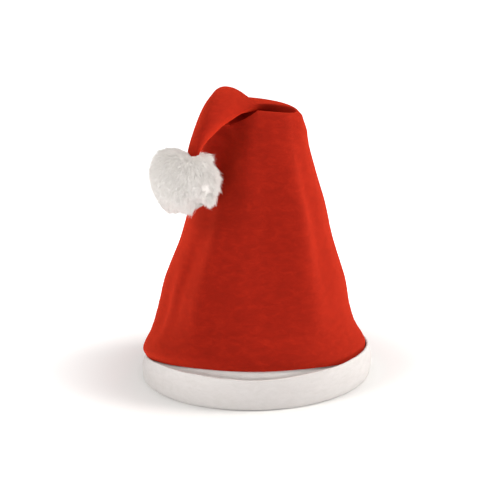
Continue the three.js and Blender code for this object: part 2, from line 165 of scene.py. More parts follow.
FOLD_ROWS = (
    FoldRow((-0.99, 0.0, 0.25), (0.95, 0.0, 0.22), (0.0, -0.65, 0.28), (0.0, 0.7, 0.25), sink=0.1),
    FoldRow((-0.95, -0.05, 0.44), (0.92, 0.01, 0.32), (0.02, -0.57, 0.46), (0.0, 0.57, 0.38), sink=0.27),
    FoldRow((-0.93, -0.1, 0.56), (0.87, 0.02, 0.38), (0.02, -0.49, 0.53), (0.0, 0.43, 0.47), sink=0.38),
    FoldRow((-0.92, -0.15, 0.63), (0.81, 0.04, 0.44), (0.02, -0.41, 0.4), (0.01, 0.31, 0.56), sink=0.32),
    FoldRow((-0.91, -0.2, 0.7), (0.7, 0.05, 0.5), (0.0, -0.18, -0.25), (-0.06, 0.25, 0.65), sink=0.09),
    FoldRow((-0.91, -0.25, 0.74), (0.49, 0.03, 0.55), (-0.05, 0.0, -0.3), (-0.14, 0.16, 0.7), sink=0.05),
    FoldRow((-0.9, -0.3, 0.76), (0.25, -0.03, 0.59), (-0.15, 0.04, 0.16), (-0.21, 0.1, 0.71)),
    FoldRow((-0.9, -0.34, 0.77), (0.02, -0.17, 0.61), (-0.28, -0.05, 0.42), (-0.34, 0.0, 0.74)),
    FoldRow((-0.9, -0.39, 0.76), (-0.15, -0.42, 0.57), (-0.42, -0.17, 0.44), (-0.52, -0.2, 1.01)),
    FoldRow((-0.97, -0.46, 0.67), (-0.31, -0.62, 0.51), (-0.6, -0.35, 0.47), (-0.65, -0.62, 1.01)),
    FoldRow((-1.06, -0.57, 0.57), (-0.48, -0.8, 0.43), (-0.76, -0.49, 0.35), (-0.81, -1.0, 0.87)),
    FoldRow((-1.15, -0.72, 0.4), (-0.66, -1.0, 0.33), (-0.89, -0.6, 0.25), (-0.96, -1.25, 0.66)),
    FoldRow((-1.24, -0.9, 0.22), (-0.82, -1.15, 0.2), (-1.02, -0.77, 0.08), (-1.06, -1.38, 0.42)),
    FoldRow((-1.32, -1.05, 0.0), (-0.98, -1.25, 0.03), (-1.15, -0.94, -0.08), (-1.16, -1.43, 0.17)),
    FoldRow((-1.37, -1.15, -0.17), (-1.09, -1.3, -0.13), (-1.23, -1.08, -0.21), (-1.22, -1.42, -0.06)),
    FoldRow((-1.39, -1.21, -0.31), (-1.14, -1.3, -0.25), (-1.27, -1.15, -0.32), (-1.26, -1.38, -0.25)),
    FoldRow((-1.4, -1.25, -0.5), (-1.2, -1.3, -0.48), (-1.3, -1.18, -0.51), (-1.3, -1.37, -0.48)),
)

CREASE_ROWS = (
    CreaseRow(-70, width=9, turn=2, depth=3.4, low=0.03, high=0.45),
    CreaseRow(-35, width=8, turn=3, depth=-4.8, low=0.04, high=0.8),
    CreaseRow(-5, width=13, turn=-4, depth=1.2, low=0.15, high=0.95),
    CreaseRow(9, width=16, turn=-3, depth=5.6, low=0.0, high=1.12),
    CreaseRow(37, width=10, turn=0, depth=-4.4, low=-0.02, high=1.1),
    CreaseRow(60, width=11, turn=-10, depth=1.2, low=0.1, high=0.95),
    CreaseRow(24, width=12, turn=-8, depth=-1.6, low=0.0, high=0.16),
    CreaseRow(128, width=16, turn=10, depth=1.6, low=0.1, high=0.6),
    CreaseRow(205, width=15, turn=-6, depth=-1.4, low=0.12, high=0.8),
    CreaseRow(-55, width=6, turn=4, depth=2.4, low=0.06, high=0.6),
    CreaseRow(-12, width=6, turn=3, depth=0.5, low=0.02, high=0.22),
    CreaseRow(41, width=5, turn=-4, depth=0.5, low=0.02, high=0.2),
)


@dataclass(frozen=True)
class HollowPoint:
    """A point of the hollow under the hanging tip's edge, where the front is pressed in. Millimetres."""

    x: float
    z: float
    depth: float


FLAP_HOLLOW = (
    HollowPoint(-5, 229, depth=0.0),
    HollowPoint(-13, 221, depth=1.0),
    HollowPoint(-19, 214, depth=4.0),
    HollowPoint(-25, 206, depth=11.0),
    HollowPoint(-28, 197, depth=15.0),
    HollowPoint(-27, 186, depth=11.0),
    HollowPoint(-25, 173, depth=5.0),
    HollowPoint(-23, 160, depth=0.0),
)
HOLLOW_WIDTH = 12.0  # how far the hollow reaches to each side
HOLLOW_END = 15.6  # section, counted from the hem, where the hollow has run out
HOLLOW_FADE = 2.0  # sections over which it does so


def linear_colour(code: str) -> tuple[float, float, float, float]:
    """Turn an sRGB hex colour into the linear colour that a shader takes.

    Args:
        code: six hex digits, such as "c8201a".

    Returns:
        Red, green, blue and a full alpha.
    """
    channels = [int(code[k:k + 2], 16) / 255 for k in (0, 2, 4)]
    linear = [c / 12.92 if c <= 0.04045 else ((c + 0.055) / 1.055) ** 2.4 for c in channels]
    return (linear[0], linear[1], linear[2], 1.0)


def add_node(tree: bpy.types.NodeTree, kind: str, settings: dict | None = None,
             links: dict | None = None) -> bpy.types.Node:
    """Add a node to a material's tree with its settings and its incoming links.

    Args:
        tree: the tree that the node goes in.
        kind: the node's type, such as "ShaderNodeTexNoise".
        settings: values by socket name, or by attribute name where no socket has it.
        links: outputs of other nodes by the name or number of the socket that takes them.

    Returns:
        The new node.
    """
    node = tree.nodes.new(kind)
    for name, value in (settings or {}).items():
        if name in node.inputs:
            node.inputs[name].default_value = value
        else:
            setattr(node, name, value)
    for name, source in (links or {}).items():
        tree.links.new(source, node.inputs[name])
    return node


def new_material(name: str) -> tuple[bpy.types.Material, bpy.types.NodeTree, bpy.types.NodeSocket]:
    """Start a material whose patterns are laid out on the object itself.

    Args:
        name: the material's name.

    Returns:
        The material, its empty tree and the place on the object.
    """
    material = bpy.data.materials.new(name)
    material.use_nodes = True
    tree = material.node_tree
    tree.nodes.clear()
    return material, tree, add_node(tree, "ShaderNodeTexCoord").outputs["Object"]


def add_noise(tree: bpy.types.NodeTree, place: bpy.types.NodeSocket, size_mm: float, detail: float,
              roughness: float, distortion: float = 0.0) -> bpy.types.NodeSocket:
    """Add a noise pattern of a real size.

    Args:
        tree: the material's tree.
        place: where on the object the pattern is read.
        size_mm: the size of one swell.
        detail: how many finer layers it has, roughness how strong they are, distortion the stir.

    Returns:
        The pattern's value.
    """
    settings = {"Scale": 1 / (size_mm * MM), "Detail": detail, "Roughness": roughness,
                "Distortion": distortion}
    return add_node(tree, "ShaderNodeTexNoise", settings, {"Vector": place}).outputs["Fac"]


def set_ramp(node: bpy.types.Node, stops: list[tuple[float, str]]) -> None:
    """Give a colour ramp its stops.

    Args:
        node: a colour ramp node, which has two stops when new.
        stops: places from 0 to 1 with hex colours.
    """
    elements = node.color_ramp.elements
    while len(elements) < len(stops):
        elements.new(0.5)
    for element, (place, code) in zip(elements, stops):
        element.position = place
        element.color = linear_colour(code)


def deselect_all() -> None:
    """Deselect every object, because an operator acts on all that is selected."""
    for item in bpy.context.selected_objects:
        item.select_set(False)


def select_only(piece: bpy.types.Object) -> None:
    """Select one piece and make it the active one.

    Args:
        piece: the piece that the next operator acts on.
    """
    deselect_all()
    piece.select_set(True)
    bpy.context.view_layer.objects.active = piece


def apply_modifiers(piece: bpy.types.Object) -> None:
    """Apply a piece's modifiers in order.

    Args:
        piece: the piece whose modifiers become its own shape.
    """
    select_only(piece)
    for modifier in list(piece.modifiers):
        bpy.ops.object.modifier_apply(modifier=modifier.name)


def felt_grid(name: str, along: int, across: int) -> bpy.types.Object:
    """Lay out a flat sheet of felt as a grid of squares.

    Args:
        name: the piece's name.
        along: squares along X, which becomes the way round the hat.
        across: squares along Y, which becomes the way up.

    Returns:
        The sheet, one unit square, with its first corner at the origin.
    """
    deselect_all()
    bpy.ops.mesh.primitive_grid_add(x_subdivisions=along, y_subdivisions=across, size=1,
                                    location=(0.5, 0.5, 0))
    bpy.ops.object.transform_apply(location=True, rotation=True, scale=True)
    sheet = bpy.context.object
    sheet.name = name
    sheet.data.name = name
    return sheet


def read_points(piece: bpy.types.Object) -> np.ndarray:
    """Read where a piece's vertices are.

    Args:
        piece: the piece to read.

    Returns:
        A row of x, y and z for each vertex, in metres.
    """
    flat = np.zeros(len(piece.data.vertices) * 3)
    piece.data.vertices.foreach_get("co", flat)
    return flat.reshape(-1, 3)


def write_points(piece: bpy.types.Object, points: np.ndarray) -> None:
    """Move a piece's vertices to new places.

    Args:
        piece: the piece to reshape.
        points: a row of x, y and z for each vertex, in metres.
    """
    piece.data.vertices.foreach_set("co", points.reshape(-1))
    piece.data.update()


def close_seam(piece: bpy.types.Object) -> None:
    """Sew a rolled sheet's two edges together and turn its faces outwards.

    Args:
        piece: the rolled sheet.
    """
    select_only(piece)
    bpy.ops.object.mode_set(mode="EDIT")
    bpy.ops.mesh.select_all(action="SELECT")
    bpy.ops.mesh.remove_doubles(threshold=SEW_GAP * MM)
    bpy.ops.mesh.normals_make_consistent(inside=False)
    bpy.ops.object.mode_set(mode="OBJECT")


def unit_rows(rows: np.ndarray) -> np.ndarray:
    """Scale rows to length one.

    Args:
        rows: rows of x, y and z.

    Returns:
        The scaled rows.
    """
    return rows / np.maximum(np.linalg.norm(rows, axis=1), 1e-9)[:, None]


def smooth_noise(points: np.ndarray, grain: float, seed: float) -> np.ndarray:
    """Read smooth noise from -1 to 1 at each point.

    Args:
        points: rows of x, y and z, in millimetres.
        grain: the size of one swell, in millimetres.
        seed: shifts the noise so that two uses differ.

    Returns:
        One value for each point.
    """
    places = (Vector((p[0] / grain + seed, p[1] / grain, p[2] / grain)) for p in points)
    return np.array([noise.noise(place) for place in places])


def round_the_hat(column: str, angle: np.ndarray) -> np.ndarray:
    """Read a column of CUFF_ROWS at angles from +X towards +Y, smooth all the way round.

    Args:
        column: the column's name.
        angle: angles in radians.

    Returns:
        One value for each angle.
    """
    values = np.array([getattr(row, column) for row in CUFF_ROWS])
    place = np.mod(angle + FULL_TURN / 4, FULL_TURN) / (FULL_TURN / len(values))
    first = np.floor(place).astype(int)
    share = place - first
    a, b, c, d = (values[np.mod(first + shift, len(values))] for shift in (-1, 0, 1, 2))
    return b + 0.5 * share * (c - a + share * (2 * a - 5 * b + 4 * c - d + share * (3 * (b - c) + d - a)))


def back_hem() -> float:
    """Read how high the crown's hem lies at the back.

    Returns:
        Its height in millimetres.
    """
    return CUFF_HEIGHT * next(row.hem for row in CUFF_ROWS if row.bearing == 180)


def draw_oval(points: np.ndarray) -> np.ndarray:
    """Draw the base out along the line from front left to back right.

    Args:
        points: rows of x, y and z, in millimetres.

    Returns:
        The moved points.
    """
    amount = OVAL * np.maximum(0, 1 - points[..., 2] / OVAL_TOP)
    x = points[..., 0] + amount * points[..., 1]
    y = points[..., 1] + amount * points[..., 0]
    return np.stack([x, y, points[..., 2]], axis=-1)


def rail_points(stops: np.ndarray, places: np.ndarray) -> np.ndarray:
    """Run a centripetal Catmull-Rom curve through stops.

    Args:
        stops: rows of x, y and z.
        places: where to read the curve, counted in stops from 0.

    Returns:
        A row of x, y and z for each place.
    """
    padded = np.vstack([2 * stops[0] - stops[1], stops, 2 * stops[-1] - stops[-2]])
    first = np.minimum(np.floor(places).astype(int), len(stops) - 2)
    share = (places - first)[:, None]
    a, b, c, d = (padded[first + shift] for shift in range(4))
    ab, bc, cd = (np.sqrt(np.linalg.norm(q - p, axis=1))[:, None] for p, q in ((a, b), (b, c), (c, d)))
    start = ((b - a) / ab - (c - a) / (ab + bc) + (c - b) / bc) * bc
    stop = ((c - b) / bc - (d - b) / (bc + cd) + (d - c) / cd) * bc
    curve = (2 * b - 2 * c + start + stop) * share
    return b + share * (start + share * (3 * (c - b) - 2 * start - stop + curve))


class FeltTone(Enum):
    """The two felts of the hat."""

    RED = "red_felt"
    WHITE = "white_felt"


@dataclass(frozen=True)
class FeltFinish:
    """Brushed polyester felt: a matt mat of fibres with a short nap that catches light at its edges.

    Attributes:
        tone: which felt, and the name of its material.
        deep: the colour where the nap lies away from the eye.
        body: the colour of most of the surface.
        high: the colour where the nap stands up.
        glow: the colour of the light that fibre tips catch at grazing angles.
        sheen: how much of it they catch.
        blotch_mm: the size of the patches where the nap lies one way.
        fibre_mm: the spacing of fibre bunches, drawn about twice as coarse as real so that it shows.
        lift_mm: the height of the nap's unevenness.
    """

    tone: FeltTone
    deep: str
    body: str
    high: str
    glow: str
    sheen: float
    blotch_mm: float
    fibre_mm: float
    lift_mm: float

    def make(self) -> bpy.types.Material:
        """Build the material.

        Returns:
            The material.
        """
        material, tree, place = new_material(self.tone.value)
        brushed = add_node(tree, "ShaderNodeMapping", {"Scale": NAP_STRETCH, "Rotation": NAP_SLOPE},
                           {"Vector": place}).outputs["Vector"]
        blotch = add_noise(tree, brushed, self.blotch_mm, detail=5.0, roughness=0.62, distortion=0.6)
        fibre = add_noise(tree, place, self.fibre_mm, detail=4.0, roughness=0.7, distortion=1.5)
        both = add_node(tree, "ShaderNodeMix", {"data_type": "FLOAT", "Factor": FIBRE_SHARE})
        tree.links.new(blotch, both.inputs["A"])
        tree.links.new(fibre, both.inputs["B"])
        ramp = add_node(tree, "ShaderNodeValToRGB", None, {"Fac": both.outputs["Result"]})
        set_ramp(ramp, list(zip(NAP_PLACES, (self.deep, self.body, self.high))))
        swell = add_node(tree, "ShaderNodeBump", {"Strength": 0.5, "Distance": self.lift_mm * MM * 2},
                         {"Height": blotch}).outputs["Normal"]
        nap = add_node(tree, "ShaderNodeBump", {"Strength": 0.7, "Distance": self.lift_mm * MM},
                       {"Height": fibre, "Normal": swell}).outputs["Normal"]
        settings = {"Roughness": 0.95, "IOR": 1.45, "Specular IOR Level": 0.15, "Sheen Weight": self.sheen,
                    "Sheen Roughness": 0.7, "Sheen Tint": linear_colour(self.glow)}
        surface = add_node(tree, "ShaderNodeBsdfPrincipled", settings,
                           {"Base Color": ramp.outputs["Color"], "Normal": nap})
        add_node(tree, "ShaderNodeOutputMaterial", None, {"Surface": surface.outputs["BSDF"]})
        return material


@dataclass(frozen=True)
class PileFinish:
    """Loose white acrylic pile: fine bright fibres, each matt, with a painted glow standing in for light
    that comes through them.

    Attributes:
        root: the colour of the duller patches, where the eye sees in between the threads.
        tip: the colour of the bright ones, where it sees their ends.
        patch_mm: the size of those patches.
        painted_glow: strength of a painted glow, an emission in the tip colour that stands in for light
            scattered inside the pile.
    """

    root: str
    tip: str
    patch_mm: float
    painted_glow: float

    def make(self, name: str) -> bpy.types.Material:
        """Build the material.

        Args:
            name: the material's name.

        Returns:
            The material.
        """
        material, tree, place = new_material(name)
        patch = add_noise(tree, place, self.patch_mm, detail=3.0, roughness=0.6)
        ramp = add_node(tree, "ShaderNodeValToRGB", None, {"Fac": patch})
        set_ramp(ramp, list(zip(PILE_PLACES, (self.root, self.tip))))
        # painted light: the emission is a painted glow standing in for light scattered inside the pile
        settings = {"Roughness": 0.85, "IOR": 1.5, "Specular IOR Level": 0.2, "Sheen Weight": 0.15,
                    "Emission Color": linear_colour(self.tip), "Emission Strength": self.painted_glow}
        surface = add_node(tree, "ShaderNodeBsdfPrincipled", settings, {"Base Color": ramp.outputs["Color"]})
        add_node(tree, "ShaderNodeOutputMaterial", None, {"Surface": surface.outputs["BSDF"]})
        return material


@dataclass
class Crown:
    """The red cone of felt, rolled up from a flat sheet, sewn up the back and folded over at its tip."""

    finish: FeltFinish
    around: int = 288
    rings_per_body_row: int = 6
    rings_per_fold_row: int = 5
    body_softness: float = 0.12
    fold_softness: float = 0.05
    seam_groove: float = 0.9
    seam_width: float = 1.5
    welt_share: float = 0.5  # of the seam's two welts, in depths of its groove
    welt_place: float = 3.2  # how far from the groove they run, in its widths
    swell_mm: float = 0.7
    swell_grain: float = 34.0
    ripple_mm: float = 0.22
    ripple_grain: float = 9.0
    ripple_squash: tuple[float, float, float] = (1.0, 1.0, 2.1)
    fold_rows: int = 3  # sections over which body turns to fold, and over which the tip calms
    calm_share: float = 0.3  # what is left of the unevenness at the tip
    fold_share: float = 0.35  # and in the fold
    least_radius: float = 10.0  # stands for the radius at the narrow end
    flat_size: tuple[float, float] = (0.57, 0.36)
    flat_area: float = 0.0935

    def rails(self, places: np.ndarray) -> dict[str, np.ndarray]:
        """Run the four guide curves of the crown from hem to tip.

        Args:
            places: sections to read, counted from the hem.

        Returns:
            Points in millimetres for "left", "right", "front" and "back".
        """
        hem_back = back_hem()
        stops: dict[str, list[tuple[float, float, float]]]
        stops = {"left": [], "right": [], "front": [], "back": []}
        for row in BODY_ROWS:
            reach = {side: NECK_RADIUS + getattr(row, side) * (HEM_RADIUS - NECK_RADIUS) for side in stops}
            height = hem_back + row.up * (NECK_HEIGHT - hem_back)
            middle = (reach["right"] - reach["left"]) / 2
            stops["left"].append((-reach["left"], 0.0, height))
            stops["right"].append((reach["right"], 0.0, height))
            stops["front"].append((middle, -reach["front"], height))
            stops["back"].append((middle, reach["back"], height))
        for row in FOLD_ROWS:
            for side in stops:
                x, y, z = getattr(row, side)
                stops[side].append((x * NECK_RADIUS, y * NECK_RADIUS, NECK_HEIGHT + z * FOLD_RISE))
        return {side: rail_points(np.array(points), places) for side, points in stops.items()}

    def column(self, name: str, places: np.ndarray) -> np.ndarray:
        """Read follow, up or sink between the sections.

        Args:
            name: the column's name.
            places: sections to read, counted from the hem.

        Returns:
            One value for each place.
        """
        past = {"follow": 0.0, "up": 1.0, "sink": 0.0}[name]
        values = [getattr(row, name, past) for row in BODY_ROWS + FOLD_ROWS]
        return np.interp(places, range(len(values)), values)

    def surface(self, places: np.ndarray, angles: np.ndarray) -> np.ndarray:
        """Work out the crown's outer face.

        Args:
            places: sections, counted from the hem, one for each point.
            angles: angles from +X towards +Y, one for each point.

        Returns:
            Points in millimetres.
        """
        rows, which = np.unique(places, return_inverse=True)
        rail = {side: points[which] for side, points in self.rails(rows).items()}
        fold = np.clip((places - len(BODY_ROWS)) / self.fold_rows, 0, 1)
        softness = self.body_softness + (self.fold_softness - self.body_softness) * fold
        sine, cosine = np.sin(angles), np.cos(angles)
        to_back = (sine + np.hypot(sine, softness)) / 2
        to_front = to_back - sine
        middle = (rail["left"] + rail["right"]) / 2
        points = middle + (rail["right"] - rail["left"]) / 2 * cosine[:, None]
        points += (rail["back"] - middle) * to_back[:, None] + (rail["front"] - middle) * to_front[:, None]
        hem_rise = CUFF_HEIGHT * round_the_hat("hem", angles) - back_hem()
        points[:, 2] += self.column("follow", places) * hem_rise
        past_left = np.mod(angles, FULL_TURN) - math.pi
        front_left = (past_left > 0) & (past_left < math.pi / 2)
        corner = np.where(front_left, np.sin(2 * past_left), 0)
        points[:, 2] -= FOLD_RISE * self.column("sink", places) * corner
        outward = points - middle
        outward[:, 2] = 0
        outward /= np.maximum(np.linalg.norm(outward, axis=1), 1e-6)[:, None]
        points -= outward * self.crease_depth(self.column("up", places), angles)[:, None]
        in_front = np.clip(-2 * sine, 0, 1)
        below_fold = np.clip((HOLLOW_END - places) / HOLLOW_FADE, 0, 1)
        points[:, 1] += self.hollow_depth(points) * in_front * below_fold
        return draw_oval(points)

    def hollow_depth(self, points: np.ndarray) -> np.ndarray:
        """Work out how far the front is pressed in under the hanging tip's edge.

        Args:
            points: rows of x, y and z, in millimetres.

        Returns:
            Depths in millimetres.
        """
        depth = np.zeros(len(points))
        for start, stop in zip(FLAP_HOLLOW, FLAP_HOLLOW[1:]):
            run = np.array([stop.x - start.x, stop.z - start.z])
            away = points[:, [0, 2]] - np.array([start.x, start.z])
            share = np.clip(away @ run / (run @ run), 0, 1)
            distance = np.linalg.norm(away - share[:, None] * run, axis=1)
            deepest = start.depth + share * (stop.depth - start.depth)
            depth = np.maximum(depth, deepest * np.exp(-(distance / HOLLOW_WIDTH) ** 2))
        return depth

    def crease_depth(self, up: np.ndarray, angles: np.ndarray) -> np.ndarray:
        """Add up how far the soft creases push the felt in.

        Args:
            up: shares of the way from hem to neck.
            angles: angles from +X towards +Y.

        Returns:
            Depths in millimetres.
        """
        bearing = np.degrees(angles) + 90
        depth = np.zeros_like(up)
        for crease in CREASE_ROWS:
            along = (up - crease.low) / (crease.high - crease.low)
            inside = (along > 0) & (along < 1)
            away = np.mod(bearing - crease.bearing - crease.turn * along + 180, 360) - 180
            fade = np.where(inside, np.sin(math.pi * np.clip(along, 0, 1)), 0)
            depth += crease.depth * fade * np.exp(-(away / crease.width) ** 2)
        return depth

    def build(self) -> bpy.types.Object:
        """Roll, sew and fold the crown, and dress it.

        Returns:
            The crown, in one piece.
        """
        body_rings = (len(BODY_ROWS) - 1) * self.rings_per_body_row
        fold_rings = len(FOLD_ROWS) * self.rings_per_fold_row
        crown = felt_grid("crown_felt", self.around, body_rings + fold_rings)
        flat = read_points(crown)
        ring = np.round(flat[:, 1] * (body_rings + fold_rings))
        places = np.where(ring <= body_rings, ring / self.rings_per_body_row,
                          len(BODY_ROWS) - 1 + (ring - body_rings) / self.rings_per_fold_row)
        angles = math.pi / 2 + np.round(flat[:, 0] * self.around) / self.around * FULL_TURN
        points = self.surface(places, angles)
        points += self.unevenness(points, places, angles)
        write_points(crown, points * MM)
        close_seam(crown)
        wall = crown.modifiers.new("felt", "SOLIDIFY")
        wall.thickness = CROWN_FELT * MM
        wall.offset = -1
        apply_modifiers(crown)
        crown.data.materials.append(self.finish.make())
        bpy.ops.object.shade_smooth_by_angle(angle=math.radians(SMOOTH_ANGLE))
        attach(crown, "root")
        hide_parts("crown")
        return crown

    def unevenness(self, points: np.ndarray, places: np.ndarray, angles: np.ndarray) -> np.ndarray:
        """Work out the felt's small swells and ripples, and the groove of the seam up the back.

        Args:
            points: the smooth outer face, in millimetres.
            places: sections, counted from the hem.
            angles: angles from +X towards +Y.

        Returns:
            How far each point moves, in millimetres.
        """
        calm_from = len(BODY_ROWS) + len(FOLD_ROWS) - self.fold_rows
        settled = np.clip(places, 0, 1) * np.clip((calm_from - places) / self.fold_rows, self.calm_share, 1)
        lift = self.swell_mm * smooth_noise(points, self.swell_grain, 3.1)
        lift += self.ripple_mm * smooth_noise(points * np.array(self.ripple_squash), self.ripple_grain, 7.7)
        radius = np.maximum(np.hypot(points[:, 0], points[:, 1]), self.least_radius)
        from_seam = (np.mod(angles - math.pi / 2 + math.pi, FULL_TURN) - math.pi) * radius
        groove = self.seam_groove * np.exp(-(from_seam / self.seam_width) ** 2)
        from_welt = np.abs(from_seam) - self.welt_place * self.seam_width
        welt = self.welt_share * self.seam_groove * np.exp(-(from_welt / self.seam_width) ** 2)
        body = np.clip((len(BODY_ROWS) + 2 - places) / self.fold_rows, 0, 1)
        outward = np.stack([np.cos(angles), np.sin(angles), np.zeros_like(angles)], axis=-1)
        waves = lift * settled * np.clip(body, self.fold_share, 1)
        return outward * (waves - (groove - welt) * body)[:, None]


@dataclass
class Cuff:
    """The white band of felt: sewn inside the crown's hem, folded up outwards at the base, rim free."""

    finish: FeltFinish
    around: int = 360
    base_round: float = 2.6
    seam_lap: float = 5.0
    seam_gap: float = 0.3
    swell_mm: float = 0.35
    swell_grain: float = 21.0
    pucker_mm: float = 0.28
    pucker_count: int = 58
    pucker_reach: float = 0.16  # as a share of the felt's way from seam to rim
    bulge_least: float = 0.6  # of the inner ply, out from its seam
    bulge_shown: float = 2.2  # more of it where the ply shows above the rim
    bulge_span: float = 5.0  # the height shown that takes all of that
    rim_wave: float = 0.35
    rim_wave_grain: float = 14.0
    edge_mm: float = 0.35  # rounding of the cut edge
    edge_angle: float = 60.0  # degrees: only the cut edge turns as sharply as this
    flat_size: tuple[float, float] = (0.59, 0.062)
    stations: int = 30

    def outline(self, angle: float) -> np.ndarray:
        """Draw the middle of the felt at an angle, from the hem down, round the base and up to the rim.

        Args:
            angle: an angle from +X towards +Y.

        Returns:
            Rows of radius and height, in millimetres.
        """
        half = CUFF_FELT / 2
        inner = HEM_RADIUS - CROWN_FELT - self.seam_gap - half
        outer = HEM_RADIUS + CUFF_ROOM + half
        turn = np.array([angle])
        hem = CUFF_HEIGHT * float(round_the_hat("hem", turn)[0])
        rim = CUFF_HEIGHT * float(round_the_hat("rim", turn)[0])
        belly = CUFF_ROOM * float(round_the_hat("belly", turn)[0])
        lean = CUFF_ROOM * float(round_the_hat("lean", turn)[0])
        fold = self.base_round - half
        shown = min(max(hem - rim, 0) / self.bulge_span, 1)
        bulge = inner + self.bulge_least + self.bulge_shown * shown
        lap = [(inner, hem + self.seam_lap), (inner, hem + 0.5), (inner + 0.9 * shown, hem - 1.5)]
        inner_ply = [(bulge, min(hem - 3, rim - 1)), (bulge, rim * 0.6), (inner + 0.9, rim * 0.3)]
        base = [(inner + 0.2, half + fold + 0.6), (inner + 0.3 * fold, half + 0.3 * fold),
                (inner + fold, half), (outer - fold, half),
                (outer - 0.3 * fold, half + 0.3 * fold), (outer, half + fold)]
        outer_ply = [(outer + belly * 0.7, rim * 0.3), (outer + belly, rim * 0.55),
                     (outer + (belly + lean) / 2, rim * 0.82), (outer + lean, rim)]
        stops = lap + inner_ply + base + outer_ply
        points = np.array([(r, z, 0.0) for r, z in stops])
        steps = np.linalg.norm(np.diff(points, axis=0), axis=1)
        along = np.concatenate([[0], np.cumsum(steps)])
        wanted = np.linspace(0, along[-1], self.stations + 1)
        places = np.interp(wanted, along, range(len(stops)))
        return rail_points(points, places)[:, :2]

    def build(self) -> bpy.types.Object:
        """Roll and fold the cuff, and dress it.

        Returns:
            The cuff, in one piece.
        """
        cuff = felt_grid("cuff_felt", self.around, self.stations)
        flat = read_points(cuff)
        turn = np.round(flat[:, 0] * self.around).astype(int)
        station = np.round(flat[:, 1] * self.stations).astype(int)
        angles = math.pi / 2 + turn / self.around * FULL_TURN
        turns = range(self.around + 1)
        outlines = np.array([self.outline(math.pi / 2 + k / self.around * FULL_TURN) for k in turns])
        profile = outlines[turn, station]
        reach, height = profile[:, 0], profile[:, 1]
        points = np.stack([reach * np.cos(angles), reach * np.sin(angles), height], axis=-1)
        free = np.clip((flat[:, 1] - 0.5) * 2, 0, 1)
        swell = self.swell_mm * smooth_noise(points * np.array([1, 1, 0.5]), self.swell_grain, 5.5) * free
        gathers = np.sin(self.pucker_count * angles + 3 * np.sin(5 * angles))
        pucker = self.pucker_mm * gathers * np.exp(-flat[:, 1] / self.pucker_reach)
        outward = np.stack([np.cos(angles), np.sin(angles), np.zeros_like(angles)], axis=-1)
        points += outward * (swell + pucker)[:, None]
        near_rim = np.clip((flat[:, 1] - 0.8) * 5, 0, 1)
        points[:, 2] += self.rim_wave * smooth_noise(points, self.rim_wave_grain, 9.9) * near_rim
        write_points(cuff, draw_oval(points) * MM)
        close_seam(cuff)
        wall = cuff.modifiers.new("felt", "SOLIDIFY")
        wall.thickness = CUFF_FELT * MM
        wall.offset = 0
        edge = cuff.modifiers.new("cut edge", "BEVEL")
        edge.width = self.edge_mm * MM
        edge.segments = 2
        edge.limit_method = "ANGLE"
        edge.angle_limit = math.radians(self.edge_angle)
        apply_modifiers(cuff)
        cuff.data.materials.append(self.finish.make())
        bpy.ops.object.shade_smooth_by_angle(angle=math.radians(SMOOTH_ANGLE))
        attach(cuff, "root")
        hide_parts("cuff")
        return cuff


@dataclass(frozen=True)
class PileRow:
    """How far the pile reaches as the pompom is seen from the front.

    The angle is in degrees, clockwise from its top, and the reach in millimetres.
    """

    angle: float
    reach: float


PILE_ROWS = (
    PileRow(-160, 27.4), PileRow(-148, 28.2), PileRow(-135, 26.4),
    PileRow(-115, 26.0), PileRow(-95, 27.2), PileRow(-72, 29.4),
    PileRow(-55, 31.4), PileRow(-42, 31.8), PileRow(-30, 30.0),
    PileRow(-18, 27.6), PileRow(-6, 24.8), PileRow(6, 21.8),
    PileRow(18, 23.4), PileRow(30, 26.2), PileRow(42, 29.4),
    PileRow(53, 30.6), PileRow(60, 27.4), PileRow(67, 26.0),
    PileRow(79, 28.2), PileRow(89, 28.8), PileRow(96, 26.0),
    PileRow(103, 28.6), PileRow(109, 31.2), PileRow(122, 28.6),
    PileRow(131, 28.8), PileRow(139, 27.6), PileRow(146, 19.0),
    PileRow(156, 16.6), PileRow(165, 19.0), PileRow(171, 25.6),
    PileRow(180, 25.8), PileRow(190, 25.4),
)


